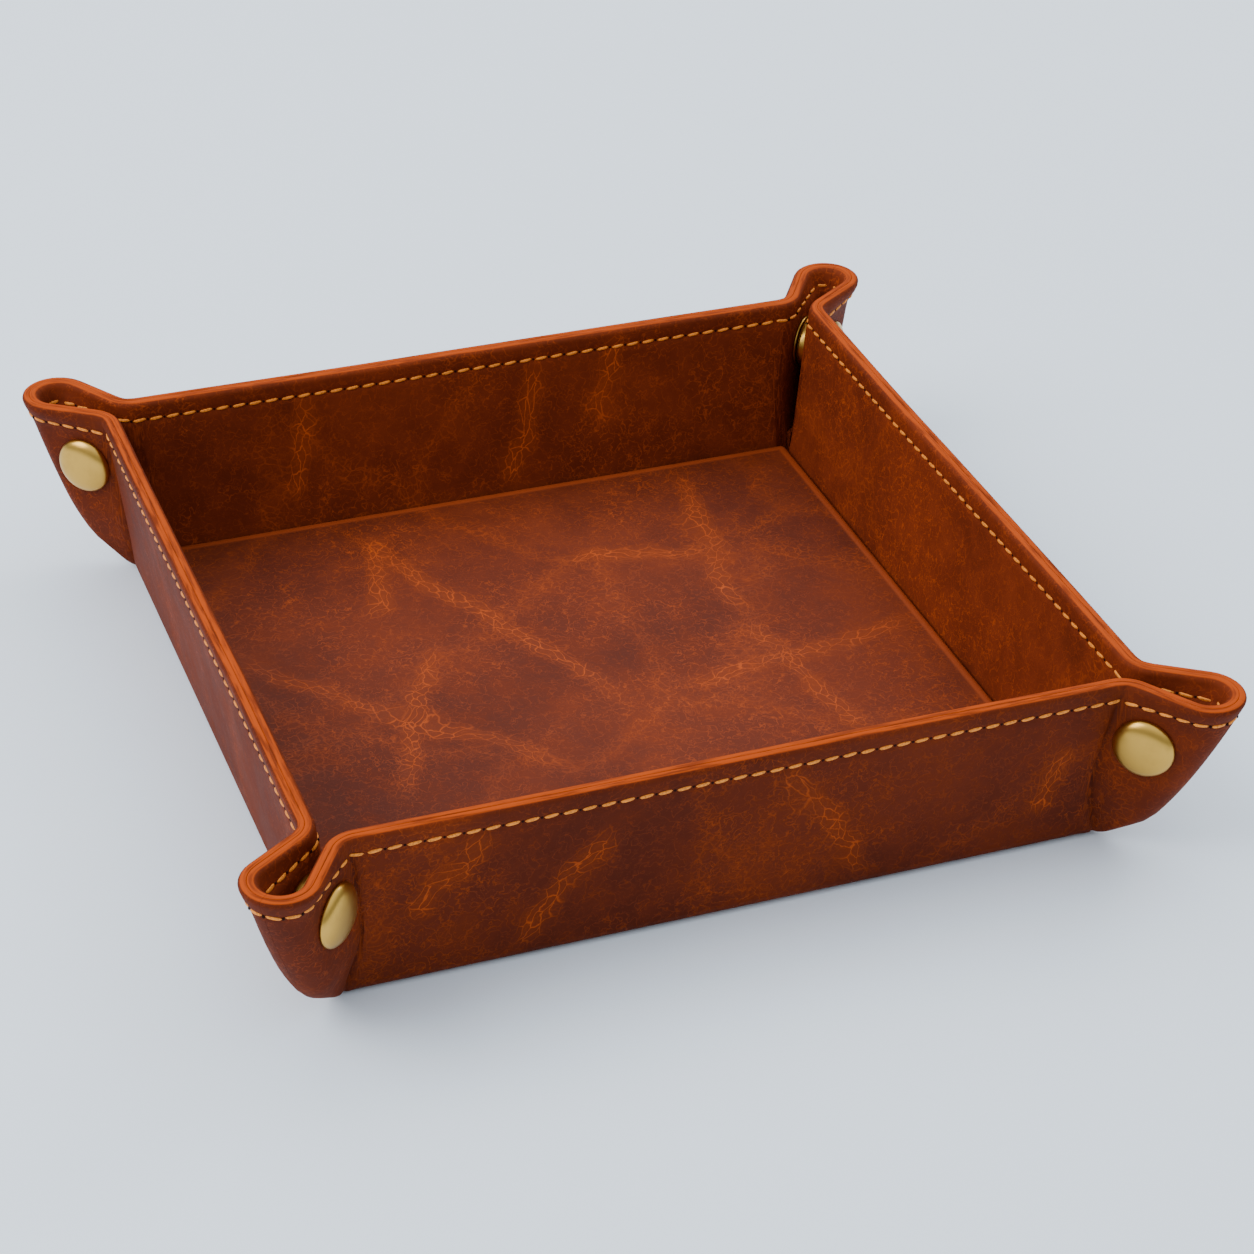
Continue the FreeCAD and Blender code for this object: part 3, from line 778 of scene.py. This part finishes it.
def ear_halves():
    """Every ear half: its corner's count, whether it mirrors the socket half, its wall and the other one."""
    for count, (socket_wall, stud_wall) in enumerate(CORNERS):
        yield count, False, socket_wall, stud_wall
        yield count, True, stud_wall, socket_wall


class TrayOperator:
    """What the tray's operators share."""

    bl_options = {"REGISTER", "UNDO"}

    @staticmethod
    def settings(context):
        return context.scene.tray_sizes, context.scene.tray_colours


class TRAY_OT_walls(TrayOperator, bpy.types.Operator):
    """Lays the outer leather and the lining along the four walls"""

    bl_idname = "tray.walls"
    bl_label = "Walls"

    def execute(self, context):
        sizes, colours = self.settings(context)
        outer, lining = leathers(colours)
        plies = (("outer", outer_section(sizes), outer), ("lining", lining_section(sizes), lining))
        for count, side in enumerate(WALLS):
            for ply, section, finish in plies:
                obj = leather_strip(f"{ply}_wall_leather_{side}", section, wall_shares(),
                                    partial(wall_point, sizes), corner_turn(count))
                dress(obj, finish)
                on_wall(obj)
                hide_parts(f"{ply}_wall_{side}")
        return {"FINISHED"}


class TRAY_OT_ears(TrayOperator, bpy.types.Operator):
    """Bends both leathers of the eight ear halves round their loops and closes the corners inside"""

    bl_idname = "tray.ears"
    bl_label = "Corner Ears"

    def execute(self, context):
        sizes, colours = self.settings(context)
        outer, lining = leathers(colours)
        sole = (0.0, -2 * LEATHER)
        plies = (("outer", [sole] + outer_section(sizes), outer, 1),
                 ("lining", lining_section(sizes), lining, -1))
        for count, mirrored, own, other in ear_halves():
            for ply, section, finish, facing in plies:
                obj = leather_strip(f"{ply}_ear_leather_{own}_{other}", section, ear_shares(),
                                    partial(shaped_point, sizes, facing), corner_turn(count, mirrored))
                dress(obj, finish)
                on_ear(obj, count, mirrored)
                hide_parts(f"{ply}_ear_{own}_{other}")
        strip_sides = [step / 6 - 1 for step in range(13)]
        fold_shares = [step / 6 for step in range(7)]
        fold_section = [(z, 1.0) for z in FOLD_HEIGHTS] + [(z, -1.0) for z in FOLD_HEIGHTS[::-1]]
        for count, (socket_wall, stud_wall) in enumerate(CORNERS):
            obj = leather_strip(f"tip_strip_{socket_wall}_{stud_wall}", strip_section(sizes), strip_sides,
                                partial(strip_point, sizes), corner_turn(count))
            dress(obj, outer)
            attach(obj, f"ear_{socket_wall}_{stud_wall}")
            obj = leather_strip(f"corner_fold_{socket_wall}_{stud_wall}", fold_section, fold_shares,
                                partial(fold_point, sizes), corner_turn(count))
            dress(obj, lining)
            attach(obj, "base")
        return {"FINISHED"}


def square_plate(name, half, corner, profile):
    """A square plate with round corners. The profile goes up its edge, each point an inset and a height."""
    steps = 8
    columns = 4 * (steps + 1)

    def place(column, row):
        inset, z = profile[row]
        quarter, step = divmod(column % columns, steps + 1)
        angle = math.pi / 2 * (quarter + step / steps)
        radius = max(corner - inset, 0.1 * MM)
        centre = half - inset - radius
        along = math.copysign(1, math.cos(math.pi / 2 * quarter + math.pi / 4))
        across = math.copysign(1, math.sin(math.pi / 2 * quarter + math.pi / 4))
        x = along * centre + radius * math.cos(angle)
        y = across * centre + radius * math.sin(angle)
        return Vector((x, y, z))

    return laid_grid(name, columns, len(profile) - 1, place)


class TRAY_OT_base(TrayOperator, bpy.types.Operator):
    """Lays the two leathers of the base under the floor panel"""

    bl_idname = "tray.base"
    bl_label = "Base"

    def execute(self, context):
        sizes, colours = self.settings(context)
        outer = leathers(colours)[0]
        half = BASE_HALF - sizes.fold_radius
        for ply, low, high in (("outer", 0.0, LEATHER), ("lining", LEATHER, 2 * LEATHER)):
            obj = square_plate(f"{ply}_base_leather", half, 2 * MM, [(0.0, low), (0.0, high)])
            dress(obj, outer)
            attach(obj, "base")
            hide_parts(f"{ply}_base")
        return {"FINISHED"}


class TRAY_OT_floor_panel(TrayOperator, bpy.types.Operator):
    """Covers the floor board with leather that has a pressed line round its edge"""

    bl_idname = "tray.floor_panel"
    bl_label = "Floor Panel"

    def execute(self, context):
        colours = context.scene.tray_colours
        top = FLOOR_HIGH.z
        edge = 1.2 * MM
        profile = [(0.0, FLOOR_LOW.z)]
        profile += [(edge - offset, z) for z, offset in arc((top - edge, 0.0), edge, 0, 90, 5)]
        profile += [(1.8 * MM, top - 0.03 * MM), (2.2 * MM, top - 0.14 * MM), (2.7 * MM, top - 0.2 * MM),
                    (3.7 * MM, top - 0.15 * MM), (6.0 * MM, top - 0.1 * MM)]
        obj = square_plate("floor_leather", FLOOR_HIGH.x, 1.5 * MM, profile)
        finish = material("waxed_floor", leather_finish, colours, FLOOR_CREASES, False, FLOOR_PAINTED_SHADE, True)
        dress(obj, finish)
        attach(obj, "base")
        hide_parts("floor_cover")
        board = bpy.data.objects["floor_board"]
        board.data.materials.clear()
        board.data.materials.append(material("grey_board", board_finish, colours))
        return {"FINISHED"}


def stitch_shape(sizes):
    """One stitch: a short thread along X whose ends dip into the leather below."""
    rings, sides = 6, 7
    half = sizes.stitch_length / 2
    radius = sizes.thread / 2
    points = []
    for ring in range(rings + 1):
        way = 2 * ring / rings - 1
        thick = radius * max(1 - way ** 4, 0.0) ** 0.5
        dip = 0.5 * radius * way * way
        for side in range(sides):
            turn = 2 * math.pi * side / sides
            points.append(Vector((half * way, thick * math.cos(turn), 0.75 * thick * math.sin(turn) - dip)))
    faces = []
    for ring in range(rings):
        for side in range(sides):
            following = (side + 1) % sides
            faces.append((ring * sides + side, (ring + 1) * sides + side,
                          (ring + 1) * sides + following, ring * sides + following))
    return points, faces


def stitch_row(name, sizes, curve, outward, mirrored=False):
    """A row of stitches along a finely stepped curve, lying on the face that looks along outward(share)."""
    steps = 400
    trail = [curve(step / steps) for step in range(steps + 1)]
    travelled = [0.0]
    for before, after in zip(trail, trail[1:]):
        travelled.append(travelled[-1] + (after - before).length)
    count = max(round(travelled[-1] / sizes.stitch_pitch), 1)
    pitch = travelled[-1] / count
    shape, shape_faces = stitch_shape(sizes)
    points, faces, holes = [], [], []
    position = 0
    for number in range(count):
        target = (number + 0.5) * pitch
        while travelled[position + 1] < target:
            position += 1
        passed = (target - travelled[position]) / (travelled[position + 1] - travelled[position])
        share = (position + passed) / steps
        along = (curve(min(share + 0.004, 1)) - curve(max(share - 0.004, 0))).normalized()
        up = outward(share)
        across = up.cross(along).normalized()
        lean = -sizes.stitch_slant if mirrored else sizes.stitch_slant
        slant = along * math.cos(lean) + across * math.sin(lean)
        side = up.cross(slant).normalized()
        end = curve(share) + along * pitch / 2 - up * 0.1 * sizes.thread
        # The second copy at each stitch's end is a flat blob that carries the painted shade of its needle
        # hole
        for centre, stretch, hole in ((curve(share), (1.0, 1.0, 1.0), 0.0), (end, (0.2, 0.9, 0.5), 1.0)):
            first = len(points)
            points += [centre + slant * p.x * stretch[0] + side * p.y * stretch[1] + up * p.z * stretch[2]
                       for p in shape]
            faces += [tuple(index + first for index in face) for face in shape_faces]
            holes += [hole] * len(shape)
    mesh = bpy.data.meshes.new(name)
    mesh.from_pydata(points, [], faces)
    mesh.attributes.new("needle_hole_shade", "FLOAT", "POINT").data.foreach_set("value", holes)
    obj = bpy.data.objects.new(name, mesh)
    bpy.context.collection.objects.link(obj)
    deselect()
    bpy.context.view_layer.objects.active = obj
    obj.select_set(True)
    tidy(obj)
    return obj


class TRAY_OT_stitches(TrayOperator, bpy.types.Operator):
    """Sews the two leathers together below the rim, on both faces"""

    bl_idname = "tray.stitches"
    bl_label = "Stitches"

    def execute(self, context):
        sizes, colours = self.settings(context)
        finish = material("waxed_thread", thread_finish, colours)
        seam = RIM_HEIGHT - sizes.stitch_drop
        depth = LEATHER - sizes.groove + 0.1 * sizes.thread
        for ply, offset in (("outer", depth), ("lining", -depth)):
            facing = math.copysign(1, offset)
            for count, side in enumerate(WALLS):
                turn = corner_turn(count)
                obj = stitch_row(f"{ply}_stitches_{side}", sizes,
                                 lambda share: turn @ wall_point(sizes, share, seam, offset),
                                 lambda share: turn.to_3x3() @ Vector((facing, 0, 0)))
                dress(obj, finish)
                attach(obj, f"wall_{side}")
            for count, mirrored, own, other in ear_halves():
                turn = corner_turn(count, mirrored)
                obj = stitch_row(f"{ply}_stitches_{own}_{other}", sizes,
                                 lambda share: turn @ ear_point(sizes, share, seam, offset),
                                 partial(self.ear_normal, sizes, turn, seam, offset, facing), mirrored)
                dress(obj, finish)
                on_ear(obj, count, mirrored)
        return {"FINISHED"}

    @staticmethod
    def ear_normal(sizes, turn, z, offset, facing, share):
        """Way out of the leather at a place on an ear."""
        inside = ear_point(sizes, share, z, offset - 0.1 * MM)
        outside = ear_point(sizes, share, z, offset + 0.1 * MM)
        return (turn.to_3x3() @ (outside - inside)).normalized() * facing


def snap_frame():
    """Place of the back right snap: its Z runs out from the middle plane on the socket's side."""
    out = Vector((1, -1, 0)).normalized()
    along = Vector((1, 1, 0)).normalized()
    middle = (CAP_LOW + CAP_HIGH) / 2
    place = along * middle.dot(along) + Vector((0, 0, SNAP_HEIGHT))
    return Matrix.Translation(place) @ Matrix((along, out.cross(along), out)).transposed().to_4x4()


def turned_piece(name, profile, place):
    """A brass piece turned about the snap's axis. Each point of the profile is a radius and a height."""
    steps = 64

    def point(column, row):
        angle = 2 * math.pi * column / steps
        radius, height = profile[row]
        return place @ Vector((radius * math.cos(angle), radius * math.sin(angle), height))

    return laid_grid(name, steps, len(profile) - 1, point)


def rounded(radius, height, size, start, end):
    """Points of a turned profile's rounding about a radius and a height. Angles are in degrees."""
    return [(across, up) for up, across in arc((height, radius), size, start, end, 4)]


def round_edge(rim, low, high, roll):
    """Points up the edge of a disc with round corners."""
    inner = rim - roll
    return rounded(inner, low + roll, roll, -90, 0) + rounded(inner, high - roll, roll, 0, 90)


def snap_half(mirrored, own, other):
    """Kind of a snap's half, and the name of its corner with the socket's wall first."""
    return ("stud", f"{other}_{own}") if mirrored else ("socket", f"{own}_{other}")


class TRAY_OT_caps(TrayOperator, bpy.types.Operator):
    """Turns the domed brass caps of the four snaps"""

    bl_idname = "tray.caps"
    bl_label = "Snap Caps"

    def execute(self, context):
        sizes, colours = self.settings(context)
        finish = material("worn_brass", brass_finish, colours)
        profile = self.dome(sizes.snap_half_gap + 2 * LEATHER, sizes.cap_height)
        for count, mirrored, own, other in ear_halves():
            kind, corner = snap_half(mirrored, own, other)
            place = corner_turn(count, mirrored) @ snap_frame()
            obj = turned_piece(f"{kind}_dome_{corner}", profile, place)
            dress(obj, finish)
            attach(obj, f"ear_{own}_{other}")
            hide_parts(f"{kind}_cap_{corner}")
        return {"FINISHED"}

    @staticmethod
    def dome(seat, height):
        """Profile of a cap: a flat foot with a small rounding and a full dome."""
        roll = 0.35 * MM
        profile = [(0.0, seat)] + rounded(CAP_RADIUS - roll, seat + roll, roll, -90, 0)
        for step in range(1, 17):
            way = math.pi / 2 * step / 16
            profile.append((CAP_RADIUS * math.cos(way) ** 0.8, seat + roll + (height - roll) * math.sin(way)))
        return profile


class TRAY_OT_snap_parts(TrayOperator, bpy.types.Operator):
    """Turns the sockets and studs between the ear halves"""

    bl_idname = "tray.snap_parts"
    bl_label = "Snap Sockets and Studs"

    def execute(self, context):
        sizes, colours = self.settings(context)
        finish = material("worn_brass", brass_finish, colours)
        for count, mirrored, own, other in ear_halves():
            kind, corner = snap_half(mirrored, own, other)
            place = corner_turn(count, mirrored) @ snap_frame()
            profile = self.stud(sizes) if mirrored else self.socket(sizes)
            obj = turned_piece(f"{kind}_turned_{corner}", profile, place)
            dress(obj, finish)
            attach(obj, f"ear_{own}_{other}")
            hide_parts(f"snap_{kind}_{corner}")
        return {"FINISHED"}

    @staticmethod
    def socket(sizes):
        """Profile of a socket: a thick disc with round edges and a bore for the stud's bulb."""
        back = sizes.snap_half_gap - 0.1 * MM
        mouth = 1.0 * MM - sizes.snap_half_gap
        rim = CAP_RADIUS - 0.3 * MM
        bore = 2.5 * MM
        roll = 0.8 * MM
        inside = [(0.0, 0.75 * MM), (bore, 0.75 * MM), (bore, mouth + 0.15 * MM), (bore + 0.2 * MM, mouth)]
        return inside + round_edge(rim, mouth, back, roll) + [(0.0, back)]

    @staticmethod
    def stud(sizes):
        """Profile of a stud: a flange on the lining and a bulb on a neck."""
        back = sizes.snap_half_gap - 0.1 * MM
        face = back - 0.6 * MM
        foot = face - 0.3 * MM
        rim = CAP_RADIUS - 0.3 * MM
        roll = 0.25 * MM
        bulb = [(0.0, foot - 1.2 * MM), (1.5 * MM, foot - 1.15 * MM), (2.0 * MM, foot - 0.8 * MM),
                (2.1 * MM, foot - 0.5 * MM), (1.9 * MM, foot - 0.15 * MM), (1.75 * MM, foot),
                (1.75 * MM, face)]
        return bulb + round_edge(rim, face, back, roll) + [(0.0, back)]


class TRAY_OT_stage(TrayOperator, bpy.types.Operator):
    """Sets the pale floor, the soft lights and the photograph's camera"""

    bl_idname = "tray.stage"
    bl_label = "Stage"

    def execute(self, context):
        deselect()
        bpy.ops.mesh.primitive_plane_add(size=12, location=(0, 0, -0.05 * MM))
        floor = context.object
        floor.name = "studio_floor"
        floor.data.materials.append(material("studio_floor", stage_finish, context.scene.tray_colours))
        for light in LIGHTS:
            self.light(*light)
        context.scene.world = self.sky()
        self.camera(context)
        return {"FINISHED"}

    @staticmethod
    def sky():
        """Pale studio surroundings, brighter overhead than at the sides."""
        sky = Finish("studio", world=True)
        way = sky.node("ShaderNodeTexCoord", output="Generated")
        height = sky.node("ShaderNodeSeparateXYZ", {}, {0: way}, 2)
        strength = sky.ramp(height, 0.0, 0.9, 0.3, 1.58)
        tint = (0.84, 0.93, 1.0, 1.0)
        background = sky.node("ShaderNodeBackground", {}, {"Color": tint, "Strength": strength})
        sky.node("ShaderNodeOutputWorld", {}, {"Surface": background})
        return sky.owner

    @staticmethod
    def light(name, place, size, power):
        """A square soft light that looks at the tray."""
        lamp = bpy.data.lights.new(name, "AREA")
        lamp.size = size
        lamp.energy = power
        obj = bpy.data.objects.new(name, lamp)
        obj.location = place
        obj.rotation_euler = (-Vector(place)).to_track_quat("-Z", "Y").to_euler()
        bpy.context.collection.objects.link(obj)

    @staticmethod
    def camera(context):
        """The photograph's camera, from its angles, distance and roll."""
        level = math.cos(CAMERA_ELEVATION)
        back = Vector((math.sin(CAMERA_AZIMUTH) * level, -math.cos(CAMERA_AZIMUTH) * level,
                       math.sin(CAMERA_ELEVATION)))
        right = Vector((math.cos(CAMERA_AZIMUTH), math.sin(CAMERA_AZIMUTH), 0))
        up = back.cross(right)
        tilted_right = right * math.cos(CAMERA_ROLL) + up * math.sin(CAMERA_ROLL)
        tilted_up = up * math.cos(CAMERA_ROLL) - right * math.sin(CAMERA_ROLL)
        data = bpy.data.cameras.new("photo_camera")
        data.lens = CAMERA_LENS
        data.sensor_width = 36
        data.clip_end = 50
        camera = bpy.data.objects.new("photo_camera", data)
        turn = Matrix((tilted_right, tilted_up, back)).transposed().to_4x4()
        camera.matrix_world = Matrix.Translation(CAMERA_TARGET + back * CAMERA_DISTANCE) @ turn
        context.collection.objects.link(camera)
        context.scene.camera = camera


class TRAY_PT_panel(bpy.types.Panel):
    """Lists the tray's steps in the sidebar"""

    bl_idname = "TRAY_PT_panel"
    bl_label = "Valet Tray"
    bl_space_type = "VIEW_3D"
    bl_region_type = "UI"
    bl_category = "Valet Tray"

    def draw(self, context):
        for operator in OPERATORS:
            self.layout.operator(operator.bl_idname)


OPERATORS = [TRAY_OT_base, TRAY_OT_walls, TRAY_OT_ears, TRAY_OT_floor_panel, TRAY_OT_stitches, TRAY_OT_caps,
             TRAY_OT_snap_parts, TRAY_OT_stage]
CLASSES = [TraySizes, TrayColours, *OPERATORS, TRAY_PT_panel]


def register():
    """Registers the add-on's classes and settings."""
    for part in CLASSES:
        bpy.utils.register_class(part)
    bpy.types.Scene.tray_sizes = bpy.props.PointerProperty(type=TraySizes)
    bpy.types.Scene.tray_colours = bpy.props.PointerProperty(type=TrayColours)


def unregister():
    """Removes the add-on's settings and classes."""
    del bpy.types.Scene.tray_colours
    del bpy.types.Scene.tray_sizes
    for part in reversed(CLASSES):
        bpy.utils.unregister_class(part)


def main():
    """Makes every piece in order."""
    register()
    bpy.ops.tray.base()
    bpy.ops.tray.walls()
    bpy.ops.tray.ears()
    bpy.ops.tray.floor_panel()
    bpy.ops.tray.stitches()
    bpy.ops.tray.caps()
    bpy.ops.tray.snap_parts()
    bpy.ops.tray.stage()


if __name__ == "__main__":
    main()
